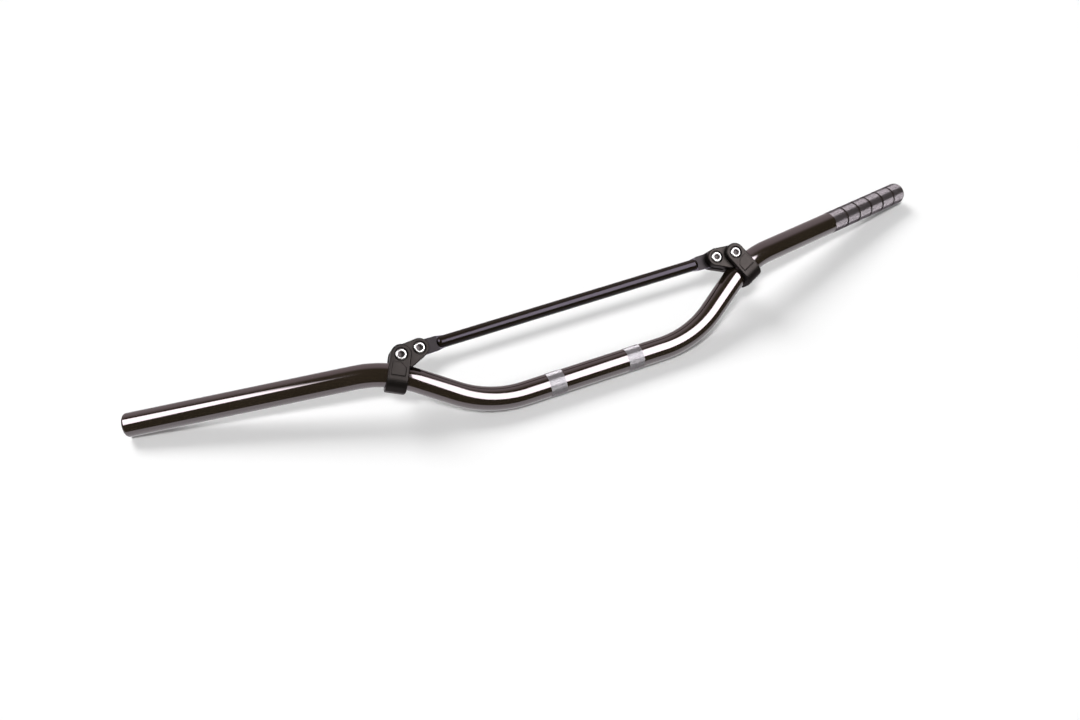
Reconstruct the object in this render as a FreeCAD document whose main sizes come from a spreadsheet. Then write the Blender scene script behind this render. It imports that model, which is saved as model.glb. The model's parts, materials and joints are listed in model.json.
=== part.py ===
# Motocross handlebar: a bent tube, a crossbar and the two bolted clamps that hold the crossbar.
#
# Every piece is drawn in the bar's own frame: x along the bar with the rider's left at +x,
# y towards the rider, z up the rise, origin at the middle of the tube's straight centre section.
# At the end each piece is laid down as the loose bar comes to rest, on the centre section and
# the two grip tips, with its clamps in the air. Lengths are in millimetres, angles in degrees.
import FreeCAD
import Part
import math
import os

import Sketcher
from FreeCAD import Placement, Rotation, Vector

SIZES = {
    # bent tube: corners of its centreline and the bend radii
    "tube_diameter": 22.2,
    "tube_wall": 4.5,
    "end_round": 3.0,
    "lower_corner_x": 105.1,
    "lower_bend_radius": 105.5,
    "knee_corner_x": 185.2,
    "knee_rise": 57.2,
    "knee_bend_radius": 105.0,
    "tip_x": 417.3,
    "tip_sweep": 61.8,
    "tip_rise": 85.1,
    # knurled zones, raised by the knurling, and the turned grooves of the left grip
    "knurl_height": 0.20,
    "riser_band_x": 40.1,
    "riser_band_width": 15.6,
    "grip_knurl_length": 116.4,
    "grip_groove_count": 5,
    "grip_groove_pitch": 19.4,
    "grip_groove_width": 2.4,
    "grip_groove_depth": 0.6,
    "grip_end_land": 19.4,
    # crossbar
    "crossbar_diameter": 11.5,
    "crossbar_rise": 68.1,
    "crossbar_dome": 4.6,
    "rod_setback": 17.3,
    "tang_thickness": 5.0,
    "tang_width": 13.6,
    "tang_taper": 11.0,
    "tang_root_inset": 0.8,
    "eye_radius": 7.2,
    # clamp screws, seen from the front
    "link_screw_x": 152.3,
    "clamp_screw_x": 170.5,
    "clamp_screw_rise": 66.6,
    # link between the crossbar and the strap
    "link_thickness": 22.0,
    "link_corner_radius": 8.8,
    "link_heel_radius": 8.8,
    "link_heel_reach": 8.4,
    "link_toe_reach": 11.2,
    "link_foot_level": 8.4,
    "link_toe_round": 1.4,
    "link_edge_round": 1.0,
    # strap round the tube
    "strap_width": 18.8,
    "strap_wall": 4.3,
    "ear_thickness": 5.2,
    "ear_drop": 3.4,
    "ear_crown_flat": 0.2,
    "strap_edge_round": 1.4,
    "panel_depth": 0.45,
    "panel_half_width": 6.4,
    "panel_foot": 1.5,
    "panel_head": 10.6,
    "panel_clip": 4.6,
    # fasteners, size M6
    "screw_diameter": 6.0,
    "screw_tail": 1.2,
    "head_diameter": 10.5,
    "head_height": 3.3,
    "head_round": 1.6,
    "hex_key": 4.0,
    "hex_depth": 2.0,
    "counterbore_depth": 2.8,
    "nut_width": 10.0,
    "nut_height": 5.0,
    "nut_chamfer": 0.6,
    "nut_recess": 2.5,
    # clearances, each for one side or one radius
    "tube_clearance": 0.10,
    "ear_clearance": 0.10,
    "tang_clearance": 0.15,
    "hole_clearance": 0.25,
    "head_clearance": 0.80,
    "nut_clearance": 0.15,
    "thread_clearance": 0.05,
}

# Limits used when picking edges and checking cuts
ON_IT = 0.05           # a point this near to a plane lies on it
SHARP_TURN = 15.0      # faces that meet at more degrees than this make a sharp edge
LEAST_CUT = 0.1        # a pocket takes at least this volume away
HALVINGS = 60          # steps that settle the resting angle

doc = FreeCAD.newDocument("Handlebar")
sheet = doc.addObject("Spreadsheet::Sheet", "Sizes")
for row, (alias, value) in enumerate(SIZES.items(), start=1):
    sheet.set("A%d" % row, alias)
    sheet.set("B%d" % row, str(value))
    sheet.setAlias("B%d" % row, alias)
doc.recompute()


def size(alias):
    return float(sheet.get(alias))


def bind(target, **formulas):
    for prop, formula in formulas.items():
        target.setExpression(prop, formula)


# Centreline of the tube, from the right grip's tip to the left grip's tip

def rounded_path(corners, radii):
    """Wire of straight runs joined by tangent arcs."""
    edges = []
    start = corners[0]
    for before, here, after, radius in zip(corners, corners[1:], corners[2:], radii):
        way_in = (here - before).normalize()
        way_out = (after - here).normalize()
        half_turn = way_in.getAngle(way_out) / 2
        first = here - way_in * (radius * math.tan(half_turn))
        last = here + way_out * (radius * math.tan(half_turn))
        inward = (way_out - way_in).normalize()
        middle = here + inward * (radius / math.cos(half_turn) - radius)
        edges.append(Part.LineSegment(start, first).toShape())
        edges.append(Part.Arc(first, middle, last).toShape())
        start = last
    edges.append(Part.LineSegment(start, corners[-1]).toShape())
    return Part.Wire(edges)


def half_corners(side):
    return [
        Vector(side * size("lower_corner_x"), 0, 0),
        Vector(side * size("knee_corner_x"), 0, size("knee_rise")),
        Vector(side * size("tip_x"), size("tip_sweep"), size("tip_rise")),
    ]


lower_radius = size("lower_bend_radius")
knee_radius = size("knee_bend_radius")
left_corners = half_corners(1)
right_corners = half_corners(-1)
left_tip = left_corners[-1]
right_tip = right_corners[-1]
left_grip_way = (left_tip - left_corners[1]).normalize()
right_grip_way = (right_tip - right_corners[1]).normalize()

path = doc.addObject("Part::Feature", "TubePath")
path.Shape = rounded_path(right_corners[::-1] + left_corners,
                          [knee_radius, lower_radius, lower_radius, knee_radius])


def sweep_along_path(name, radius_formula):
    circle = doc.addObject("Part::Circle", name + "Section")
    bind(circle, Radius=radius_formula)
    circle.Placement = Placement(right_tip, Rotation(Vector(0, 0, 1), right_grip_way * -1))
    sweep = doc.addObject("Part::Sweep", name)
    sweep.Sections = [circle]
    sweep.Spine = (path, ["Edge%d" % (i + 1) for i in range(len(path.Shape.Edges))])
    sweep.Solid = True
    return sweep


def cylinder(name, radius_formula, length_formula, base, way):
    piece = doc.addObject("Part::Cylinder", name)
    bind(piece, Radius=radius_formula, Height=length_formula)
    piece.Placement = Placement(base, Rotation(Vector(0, 0, 1), way))
    return piece


def boolean(kind, name, base, tool):
    result = doc.addObject("Part::" + kind, name)
    result.Base = base
    result.Tool = tool
    return result


def sharp_edges(shape, wanted):
    """Numbers of the edges where two faces meet at an angle and whose midpoint is wanted."""
    numbers = []
    for number, edge in enumerate(shape.Edges, start=1):
        faces = shape.ancestorsOfType(edge, Part.Face)
        if len(faces) < 2:
            continue
        middle = edge.valueAt((edge.FirstParameter + edge.LastParameter) / 2)
        normals = [face.normalAt(*face.Surface.parameter(middle)) for face in faces[:2]]
        if normals[0].getAngle(normals[1]) > math.radians(SHARP_TURN) and wanted(middle, edge):
            numbers.append(number)
    return numbers


# Bent tube with its two knurled clamp bands, the knurled left grip and its grooves

def build_tube():
    outside = sweep_along_path("TubeOutside", "Sizes.tube_diameter / 2")
    knurl_radius = "Sizes.tube_diameter / 2 + Sizes.knurl_height"
    raised = [outside]
    for side, name in ((1, "LeftRiserBand"), (-1, "RightRiserBand")):
        start = Vector(side * size("riser_band_x") - size("riser_band_width") / 2, 0, 0)
        raised.append(cylinder(name, knurl_radius, "Sizes.riser_band_width", start, Vector(1, 0, 0)))
    raised.append(cylinder("GripKnurl", knurl_radius, "Sizes.grip_knurl_length",
                           left_tip, left_grip_way * -1))
    blank = doc.addObject("Part::MultiFuse", "TubeBlank")
    blank.Shapes = raised

    discs = []
    for i in range(int(size("grip_groove_count"))):
        middle = size("grip_end_land") + i * size("grip_groove_pitch")
        start = left_tip - left_grip_way * (middle - size("grip_groove_width") / 2)
        discs.append(cylinder("GrooveDisc%d" % (i + 1), "Sizes.tube_diameter", "Sizes.grip_groove_width",
                              start, left_grip_way * -1))
    disc_stack = doc.addObject("Part::MultiFuse", "GrooveDiscs")
    disc_stack.Shapes = discs
    core = cylinder("GrooveCore", "Sizes.tube_diameter / 2 - Sizes.grip_groove_depth",
                    "Sizes.grip_knurl_length", left_tip, left_grip_way * -1)
    rings = boolean("Cut", "GrooveRings", disc_stack, core)
    grooved = boolean("Cut", "GroovedTube", blank, rings)
    doc.recompute()

    def at_a_tip(middle, edge):
        return min(edge.CenterOfMass.distanceToPoint(left_tip),
                   edge.CenterOfMass.distanceToPoint(right_tip)) < ON_IT

    rounded = doc.addObject("Part::Fillet", "RoundedTube")
    rounded.Base = grooved
    end_edges = sharp_edges(grooved.Shape, at_a_tip)
    rounded.Edges = [(number, size("end_round"), size("end_round")) for number in end_edges]
    bore = sweep_along_path("TubeBore", "Sizes.tube_diameter / 2 - Sizes.tube_wall")
    return boolean("Cut", "Tube", rounded, bore)


# Helpers for bodies made from sketches

def origin_plane(body, role):
    return [feature for feature in body.Origin.OriginFeatures if feature.Role == role][0]


def new_body(name):
    return doc.addObject("PartDesign::Body", name)


def new_sketch(body, name, role, offset_formula=None):
    sketch = body.newObject("Sketcher::SketchObject", name)
    sketch.AttachmentSupport = (origin_plane(body, role), [""])
    sketch.MapMode = "FlatFace"
    if offset_formula:
        bind(sketch, **{"AttachmentOffset.Base.z": offset_formula})
    return sketch


def dimension(sketch, kind, places, value, formula=None):
    number = sketch.addConstraint(Sketcher.Constraint(kind, *places, value))
    if formula:
        sketch.setExpression("Constraints[%d]" % number, formula)


def pin_point(sketch, element, end, x, y, x_formula=None, y_formula=None):
    """Fix one point of a sketch by its two distances from the sketch's origin."""
    dimension(sketch, "DistanceX", (-1, 1, element, end), x, x_formula)
    dimension(sketch, "DistanceY", (-1, 1, element, end), y, y_formula)


def polygon(sketch, points):
    """Closed outline through (x, y, x formula, y formula) points."""
    first = len(sketch.Geometry)
    count = len(points)
    for i in range(count):
        start = Vector(points[i][0], points[i][1], 0)
        end = Vector(points[(i + 1) % count][0], points[(i + 1) % count][1], 0)
        sketch.addGeometry(Part.LineSegment(start, end), False)
    for i in range(count):
        sketch.addConstraint(Sketcher.Constraint("Coincident", first + i, 2, first + (i + 1) % count, 1))
        pin_point(sketch, first + i, 1, *points[i])


def circle_at(sketch, x, y, diameter_formula, x_formula=None, y_formula=None):
    element = sketch.addGeometry(Part.Circle(Vector(x, y, 0), Vector(0, 0, 1), 1.0), False)
    dimension(sketch, "Diameter", (element,), 2.0, diameter_formula)
    pin_point(sketch, element, 3, x, y, x_formula, y_formula)


def hexagon_at(sketch, x, y, across_flats):
    corner = across_flats / math.sqrt(3)
    points = []
    for i in range(6):
        turn = math.radians(60 * i + 30)
        points.append((x + corner * math.cos(turn), y + corner * math.sin(turn)))
    polygon(sketch, points)


def pad(body, name, sketch, length_formula):
    feature = body.newObject("PartDesign::Pad", name)
    feature.Profile = sketch
    feature.Midplane = True
    bind(feature, Length=length_formula)
    doc.recompute()
    return feature


def pocket(body, name, sketch, length_formula, midplane=False, reverse=False):
    """Cut that must take material away."""
    before = body.Shape.Volume
    feature = body.newObject("PartDesign::Pocket", name)
    feature.Profile = sketch
    feature.Midplane = midplane
    feature.Reversed = reverse
    bind(feature, Length=length_formula)
    doc.recompute()
    if body.Shape.Volume > before - LEAST_CUT:
        raise RuntimeError(name + " cuts nothing")
    return feature


def round_edges(body, name, radius_formula, wanted):
    base = body.Tip
    feature = body.newObject("PartDesign::Fillet", name)
    feature.Base = (base, ["Edge%d" % number for number in sharp_edges(base.Shape, wanted)])
    bind(feature, Radius=radius_formula)
    doc.recompute()
    return feature


# Crossbar: a round rod with a flat eye at each end

def build_crossbar():
    body = new_body("CrossbarBody")
    rod_section = new_sketch(body, "RodSection", "YZ_Plane")
    circle_at(rod_section, 0, 0, "Sizes.crossbar_diameter")
    pad(body, "Rod", rod_section, "2 * (Sizes.link_screw_x - Sizes.rod_setback)")
    round_edges(body, "RodDomes", "Sizes.crossbar_dome", lambda middle, edge: True)

    eye_x = size("link_screw_x")
    eye = size("eye_radius")
    shoulder = eye_x - size("rod_setback")
    root = shoulder - size("tang_taper")
    half = size("tang_width") / 2
    root_half = size("crossbar_diameter") / 2 - size("tang_root_inset")
    half_turn = math.pi / 2
    tang = new_sketch(body, "TangOutline", "XZ_Plane")
    arc = Part.ArcOfCircle(Part.Circle(Vector(eye_x, 0, 0), Vector(0, 0, 1), eye), -half_turn, half_turn)
    tang.addGeometry(arc, False)
    corners = [(eye_x, eye), (shoulder, half), (root, root_half),
               (root, -root_half), (shoulder, -half), (eye_x, -eye)]
    for start, end in zip(corners, corners[1:]):
        tang.addGeometry(Part.LineSegment(Vector(*start, 0), Vector(*end, 0)), False)
    tang.addConstraint(Sketcher.Constraint("Tangent", 0, 2, 1, 1))
    tang.addConstraint(Sketcher.Constraint("Tangent", 5, 2, 0, 1))
    for line in (1, 2, 3, 4):
        tang.addConstraint(Sketcher.Constraint("Coincident", line, 2, line + 1, 1))
    dimension(tang, "Radius", (0,), eye, "Sizes.eye_radius")
    pin_point(tang, 0, 3, eye_x, 0, "Sizes.link_screw_x")
    shoulder_formula = "Sizes.link_screw_x - Sizes.rod_setback"
    root_formula = shoulder_formula + " - Sizes.tang_taper"
    half_formula = "Sizes.tang_width / 2"
    root_half_formula = "Sizes.crossbar_diameter / 2 - Sizes.tang_root_inset"
    pin_point(tang, 2, 1, shoulder, half, shoulder_formula, half_formula)
    pin_point(tang, 3, 1, root, root_half, root_formula, root_half_formula)
    pin_point(tang, 4, 1, root, -root_half, root_formula, "-(" + root_half_formula + ")")
    pin_point(tang, 5, 1, shoulder, -half, shoulder_formula, "-(" + half_formula + ")")
    left_tang = pad(body, "LeftTang", tang, "Sizes.tang_thickness")

    both = body.newObject("PartDesign::Mirrored", "BothTangs")
    both.Originals = [left_tang]
    both.MirrorPlane = (origin_plane(body, "YZ_Plane"), [""])
    body.Tip = both
    doc.recompute()

    holes = new_sketch(body, "EyeHoles", "XZ_Plane")
    hole_diameter = "Sizes.screw_diameter + 2 * Sizes.hole_clearance"
    circle_at(holes, eye_x, 0, hole_diameter, "Sizes.link_screw_x")
    circle_at(holes, -eye_x, 0, hole_diameter, "-Sizes.link_screw_x")
    pocket(body, "EyeHolePocket", holes, "4 * Sizes.tang_thickness", midplane=True)
    return body


# Where the clamp sits: the point of the tube's axis nearest to the clamp screw

clamp_screw = Vector(size("clamp_screw_x"), 0, size("clamp_screw_rise"))
seat = path.Shape.distToShape(Part.Vertex(clamp_screw))[1][0][0]
clamp_y = seat.y
screw_lift = math.hypot(clamp_screw.x - seat.x, clamp_screw.z - seat.z)
strap_up = Vector(clamp_screw.x - seat.x, 0, clamp_screw.z - seat.z).normalize()
strap_along = Vector(strap_up.z, 0, -strap_up.x)


def from_seat(along, up):
    """Point of the clamp's middle plane, by its distances along the tube and away from it."""
    return Vector(seat.x, 0, seat.z) + strap_along * along + strap_up * up


# Link: a triangular block, forked round the crossbar's eye, with its foot on the tube

def tangent_point(centre, radius, outside, side):
    """Where a line from an outside point touches a circle, on the given side."""
    way = centre - outside
    turn = side * math.acos(radius / way.Length)
    back = (way * -1).normalize()
    return centre + Rotation(Vector(0, 0, 1), math.degrees(turn)).multVec(back) * radius


def build_link():
    body = new_body("LinkBody")
    heel_centre = Vector(clamp_screw.x, clamp_screw.z, 0)
    nose_centre = Vector(size("link_screw_x"), size("crossbar_rise"), 0)
    heel = size("link_heel_radius")
    nose = size("link_corner_radius")
    heel_foot = from_seat(size("link_heel_reach"), size("link_foot_level"))
    toe = from_seat(-size("link_toe_reach"), size("link_foot_level"))
    heel_foot = Vector(heel_foot.x, heel_foot.z, 0)
    toe = Vector(toe.x, toe.z, 0)
    spine_way = (heel_centre - nose_centre).normalize()
    upward = Vector(-spine_way.y, spine_way.x, 0)
    heel_top = heel_centre + upward * heel
    nose_top = nose_centre + upward * nose
    heel_side = tangent_point(heel_centre, heel, heel_foot, 1)
    nose_under = tangent_point(nose_centre, nose, toe, -1)

    def arc(centre, radius, start, end):
        circle = Part.Circle(centre, Vector(0, 0, 1), radius)
        return Part.ArcOfCircle(circle, circle.parameter(start), circle.parameter(end))

    outline = new_sketch(body, "LinkOutline", "XZ_Plane")
    outline.addGeometry(Part.LineSegment(heel_foot, heel_side), False)
    outline.addGeometry(arc(heel_centre, heel, heel_side, heel_top), False)
    outline.addGeometry(Part.LineSegment(heel_top, nose_top), False)
    outline.addGeometry(arc(nose_centre, nose, nose_top, nose_under), False)
    outline.addGeometry(Part.LineSegment(nose_under, toe), False)
    outline.addGeometry(Part.LineSegment(toe, heel_foot), False)
    for line in range(4):
        outline.addConstraint(Sketcher.Constraint("Tangent", line, 2, line + 1, 1))
    outline.addConstraint(Sketcher.Constraint("Coincident", 4, 2, 5, 1))
    outline.addConstraint(Sketcher.Constraint("Coincident", 5, 2, 0, 1))
    dimension(outline, "Radius", (1,), heel, "Sizes.link_heel_radius")
    dimension(outline, "Radius", (3,), nose, "Sizes.link_corner_radius")
    heel_place = (heel_centre.x, heel_centre.y)
    heel_formulas = ("Sizes.clamp_screw_x", "Sizes.clamp_screw_rise")
    nose_place = (nose_centre.x, nose_centre.y)
    nose_formulas = ("Sizes.link_screw_x", "Sizes.crossbar_rise")
    pin_point(outline, 1, 3, *heel_place, *heel_formulas)
    pin_point(outline, 3, 3, *nose_place, *nose_formulas)
    pin_point(outline, 5, 1, toe.x, toe.y)
    pin_point(outline, 5, 2, heel_foot.x, heel_foot.y)
    pad(body, "LinkBlock", outline, "Sizes.link_thickness")

    def across(middle, edge):
        return abs(middle.y) < ON_IT

    def on_a_face(middle, edge):
        return abs(middle.y) > size("link_thickness") / 2 - ON_IT

    round_edges(body, "LinkToe", "Sizes.link_toe_round", across)
    round_edges(body, "LinkEdges", "Sizes.link_edge_round", on_a_face)

    fork = new_sketch(body, "ForkOutline", "XZ_Plane")
    open_end = nose_centre.x - 2 * nose
    fork_floor = nose_centre.x + size("eye_radius") + size("tang_clearance")
    below = nose_centre.y - 3 * nose
    above = nose_centre.y + 3 * nose
    floor_formula = "Sizes.link_screw_x + Sizes.eye_radius + Sizes.tang_clearance"
    open_formula = "Sizes.link_screw_x - 2 * Sizes.link_corner_radius"
    polygon(fork, [
        (open_end, below, open_formula, None),
        (fork_floor, below, floor_formula, None),
        (fork_floor, above, floor_formula, None),
        (open_end, above, open_formula, None),
    ])
    pocket(body, "Fork", fork, "Sizes.tang_thickness + 2 * Sizes.tang_clearance", midplane=True)

    holes = new_sketch(body, "LinkHoles", "XZ_Plane")
    hole_diameter = "Sizes.screw_diameter + 2 * Sizes.hole_clearance"
    circle_at(holes, *heel_place, hole_diameter, *heel_formulas)
    circle_at(holes, *nose_place, hole_diameter, *nose_formulas)
    pocket(body, "LinkHolePocket", holes, "2 * Sizes.link_thickness", midplane=True)

    seat_sketch = new_sketch(body, "LinkHeadSeat", "XZ_Plane", "Sizes.link_thickness / 2")
    circle_at(seat_sketch, *nose_place, "Sizes.head_diameter + 2 * Sizes.head_clearance", *nose_formulas)
    pocket(body, "LinkHeadPocket", seat_sketch, "Sizes.counterbore_depth")

    nut_sketch = new_sketch(body, "LinkNutSeat", "XZ_Plane", "-Sizes.link_thickness / 2")
    hexagon_at(nut_sketch, *nose_place, size("nut_width") + 2 * size("nut_clearance"))
    pocket(body, "LinkNutPocket", nut_sketch, "Sizes.nut_recess", reverse=True)
    body.Placement = Placement(Vector(0, clamp_y, 0), Rotation())
    return body


# Strap: a U round the tube whose two ears hold the link; drawn standing on the seat

def build_strap():
    body = new_body("StrapBody")
    half_width = size("strap_width") / 2
    half_depth = size("link_thickness") / 2 + size("ear_clearance") + size("ear_thickness")
    depth_formula = "Sizes.link_thickness / 2 + Sizes.ear_clearance + Sizes.ear_thickness"
    bottom = -(size("tube_diameter") / 2 + size("tube_clearance") + size("strap_wall"))
    bottom_formula = "-(Sizes.tube_diameter / 2 + Sizes.tube_clearance + Sizes.strap_wall)"
    top = screw_lift + half_width
    block = new_sketch(body, "StrapBlock", "YZ_Plane")
    polygon(block, [
        (-half_depth, bottom, "-(" + depth_formula + ")", bottom_formula),
        (half_depth, bottom, depth_formula, bottom_formula),
        (half_depth, top, depth_formula, None),
        (-half_depth, top, "-(" + depth_formula + ")", None),
    ])
    pad(body, "StrapPad", block, "Sizes.strap_width")

    def lower_corner(middle, edge):
        return abs(middle.x) < ON_IT and middle.z < bottom + ON_IT

    def ear_corner(middle, edge):
        return abs(middle.y) < ON_IT and middle.z > top - ON_IT

    lower_radius_formula = "-(" + bottom_formula + ") - Sizes.ear_drop"
    round_edges(body, "StrapCurve", lower_radius_formula, lower_corner)
    round_edges(body, "EarTops", "(Sizes.strap_width - Sizes.ear_crown_flat) / 2", ear_corner)
    round_edges(body, "StrapEdges", "Sizes.strap_edge_round", lambda middle, edge: True)

    gap = new_sketch(body, "EarGap", "YZ_Plane")
    half_gap = size("link_thickness") / 2 + size("ear_clearance")
    gap_formula = "Sizes.link_thickness / 2 + Sizes.ear_clearance"
    polygon(gap, [
        (-half_gap, 0, "-(" + gap_formula + ")", None),
        (half_gap, 0, gap_formula, None),
        (half_gap, 2 * top, gap_formula, None),
        (-half_gap, 2 * top, "-(" + gap_formula + ")", None),
    ])
    pocket(body, "EarGapPocket", gap, "2 * Sizes.strap_width", midplane=True)

    hole = new_sketch(body, "EarHole", "XZ_Plane")
    circle_at(hole, 0, screw_lift, "Sizes.screw_diameter + 2 * Sizes.hole_clearance")
    pocket(body, "EarHolePocket", hole, "4 * (" + depth_formula + ")", midplane=True)

    seat_sketch = new_sketch(body, "EarHeadSeat", "XZ_Plane", depth_formula)
    circle_at(seat_sketch, 0, screw_lift, "Sizes.head_diameter + 2 * Sizes.head_clearance")
    pocket(body, "EarHeadPocket", seat_sketch, "Sizes.counterbore_depth")

    nut_sketch = new_sketch(body, "EarNutSeat", "XZ_Plane", "-(" + depth_formula + ")")
    hexagon_at(nut_sketch, 0, screw_lift, size("nut_width") + 2 * size("nut_clearance"))
    pocket(body, "EarNutPocket", nut_sketch, "Sizes.nut_recess", reverse=True)

    # bare sunk panel on the front ear, with its inner top corner clipped
    panel = new_sketch(body, "EarPanel", "XZ_Plane", depth_formula)
    reach = size("panel_half_width")
    foot = -size("panel_foot")
    head = size("panel_head")
    clip = size("panel_clip")
    reach_formula = "Sizes.panel_half_width"
    polygon(panel, [
        (-reach, foot, "-" + reach_formula, "-Sizes.panel_foot"),
        (reach, foot, reach_formula, "-Sizes.panel_foot"),
        (reach, head, reach_formula, "Sizes.panel_head"),
        (clip - reach, head, "Sizes.panel_clip - " + reach_formula, "Sizes.panel_head"),
        (-reach, head - clip, "-" + reach_formula, "Sizes.panel_head - Sizes.panel_clip"),
    ])
    pocket(body, "EarPanelPocket", panel, "Sizes.panel_depth")
    lean = Rotation(strap_along, Vector(0, 1, 0), strap_up, "ZXY")
    body.Placement = Placement(Vector(seat.x, clamp_y, seat.z), lean)
    return body


# Fasteners: button-head socket screws from the front and hex nuts sunk in the rear faces

towards_rider = Vector(0, 1, 0)


def build_screw(name, grip_formula, head_seat):
    """Screw whose head bears on head_seat, with its nut's outer face a grip length behind it."""
    head = cylinder(name + "HeadBlank", "Sizes.head_diameter / 2", "Sizes.head_height",
                    head_seat - towards_rider * size("head_height"), towards_rider)
    doc.recompute()
    rounded = doc.addObject("Part::Fillet", name + "Head")
    rounded.Base = head
    front = head_seat.y - size("head_height")
    front_edges = sharp_edges(head.Shape, lambda middle, edge: abs(middle.y - front) < ON_IT)
    rounded.Edges = [(number, size("head_round"), size("head_round")) for number in front_edges]
    shank = cylinder(name + "Shank", "Sizes.screw_diameter / 2", grip_formula + " + Sizes.screw_tail",
                     head_seat, towards_rider)
    solid = boolean("Fuse", name + "Solid", rounded, shank)
    socket = doc.addObject("Part::Prism", name + "Socket")
    socket.Polygon = 6
    bind(socket, Circumradius="Sizes.hex_key / sqrt(3)", Height="Sizes.hex_depth")
    socket.Placement = Placement(head_seat - towards_rider * size("head_height"),
                                 Rotation(Vector(0, 0, 1), towards_rider))
    return boolean("Cut", name, solid, socket)


def build_nut(name, nut_seat, corner_way):
    """Nut in its recess, with one corner of its hexagon pointing the same way as the recess's."""
    blank = doc.addObject("Part::Prism", name + "Blank")
    blank.Polygon = 6
    bind(blank, Circumradius="Sizes.nut_width / sqrt(3)", Height="Sizes.nut_height")
    turn = Rotation(corner_way, towards_rider.cross(corner_way), towards_rider, "ZXY")
    blank.Placement = Placement(nut_seat, turn)
    doc.recompute()
    outer = nut_seat.y + size("nut_height")
    outer_edges = sharp_edges(blank.Shape, lambda middle, edge: abs(middle.y - outer) < ON_IT)
    bevelled = doc.addObject("Part::Chamfer", name + "Bevelled")
    bevelled.Base = blank
    bevelled.Edges = [(number, size("nut_chamfer"), size("nut_chamfer")) for number in outer_edges]
    thread_start = nut_seat - towards_rider * (size("nut_height") / 2)
    thread = cylinder(name + "Thread", "Sizes.screw_diameter / 2 + Sizes.thread_clearance",
                      "2 * Sizes.nut_height", thread_start, towards_rider)
    return boolean("Cut", name, bevelled, thread)


# Lay the bar down: the tilt at which the left tip is as low as the knurled bands

def lowest_of_tip(angle):
    turn = Rotation(Vector(1, 0, 0), angle)
    ring_centre = turn.multVec(left_tip - left_grip_way * size("end_round"))
    fall = turn.multVec(left_grip_way).z
    ring_radius = size("tube_diameter") / 2 + size("knurl_height") - size("end_round")
    return ring_centre.z - ring_radius * math.sqrt(1 - fall * fall) - size("end_round")


def resting_angle():
    lowest_of_bands = -(size("tube_diameter") / 2 + size("knurl_height"))
    low_angle = -90.0
    high_angle = 0.0
    for _ in range(HALVINGS):
        middle = (low_angle + high_angle) / 2
        if lowest_of_tip(middle) < lowest_of_bands:
            low_angle = middle
        else:
            high_angle = middle
    return (low_angle + high_angle) / 2


# Build every piece

tube = build_tube()
crossbar = build_crossbar()
crossbar.Placement = Placement(Vector(0, clamp_y, size("crossbar_rise")), Rotation())
around_tube = sweep_along_path("TubeRoom", "Sizes.tube_diameter / 2 + Sizes.tube_clearance")
link = boolean("Cut", "LeftLink", build_link(), around_tube)
strap = boolean("Cut", "LeftStrap", build_strap(), around_tube)

pieces = {"handlebar_tube": tube, "crossbar": crossbar, "left_link": link, "left_strap": strap}

half_link = size("link_thickness") / 2
half_strap = half_link + size("ear_clearance") + size("ear_thickness")
link_grip = "Sizes.link_thickness"
strap_grip = "Sizes.link_thickness + 2 * (Sizes.ear_clearance + Sizes.ear_thickness)"
past_recesses = " - Sizes.counterbore_depth - Sizes.nut_recess + Sizes.nut_height"
for side, side_name in ((1, "left"), (-1, "right")):
    leaning = Vector(side * strap_up.x, 0, strap_up.z)
    for kind, x, z, half_depth, grip, corner_way in (
            ("link", size("link_screw_x"), size("crossbar_rise"), half_link, link_grip, Vector(0, 0, 1)),
            ("clamp", clamp_screw.x, clamp_screw.z, half_strap, strap_grip, leaning)):
        name = side_name.capitalize() + kind.capitalize()
        head_seat = Vector(side * x, clamp_y - half_depth + size("counterbore_depth"), z)
        nut_seat = Vector(side * x, clamp_y + half_depth - size("nut_recess"), z)
        node = side_name + "_" + kind
        pieces[node + "_screw"] = build_screw(name + "Screw", grip + past_recesses, head_seat)
        pieces[node + "_nut"] = build_nut(name + "Nut", nut_seat, corner_way)
doc.recompute()

for kind, source in (("link", link), ("strap", strap)):
    twin = doc.addObject("Part::Mirroring", "Right" + kind.capitalize())
    twin.Source = source
    twin.Normal = Vector(1, 0, 0)
    pieces["right_" + kind] = twin
doc.recompute()

# Turn the bar to its resting tilt, then put the origin on the floor under the middle of its box
tilt = Rotation(Vector(1, 0, 0), resting_angle())
turned = tube.Shape.copy()
turned.Placement = Placement(Vector(0, 0, 0), tilt)
box = turned.optimalBoundingBox(False)
resting = Placement(Vector(0, -(box.YMin + box.YMax) / 2, -box.ZMin), tilt)
for node, piece in pieces.items():
    piece.Label = node
    if piece.TypeId != "Part::Mirroring":
        piece.Placement = resting * piece.Placement
doc.recompute()

# Check the document, then write one file for each piece
failed = [item.Name for item in doc.Objects if "Invalid" in item.State or "Error" in item.State]
if failed:
    raise RuntimeError("failed objects: " + ", ".join(failed))
for node, piece in pieces.items():
    if piece.Shape.isNull() or not piece.Shape.isValid() or len(piece.Shape.Solids) != 1:
        raise RuntimeError("bad shape: " + node)

os.makedirs("parts", exist_ok=True)
for node, piece in pieces.items():
    piece.Shape.Solids[0].exportStep(os.path.join("parts", node + ".step"))
    print("%-20s %10.1f mm3" % (node, piece.Shape.Volume))
print("resting tilt %.3f, seat %s, screw lift %.2f, origin shift %s"
      % (resting_angle(), seat, screw_lift, resting.Base))
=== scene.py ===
"""The dressed handlebar: a gloss black tube with knurled seats, its crossbar, clamps and bright screws.

Every length is in metres. The bar's own frame has X along the bar, to the rider's left, Y back to the rider
and Z up, with the middle of the tube at the origin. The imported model's row frame has it lying on the floor.
"""
import json
import math
from collections import namedtuple

import bmesh
import bpy
from mathutils import Matrix, Quaternion, Vector


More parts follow.
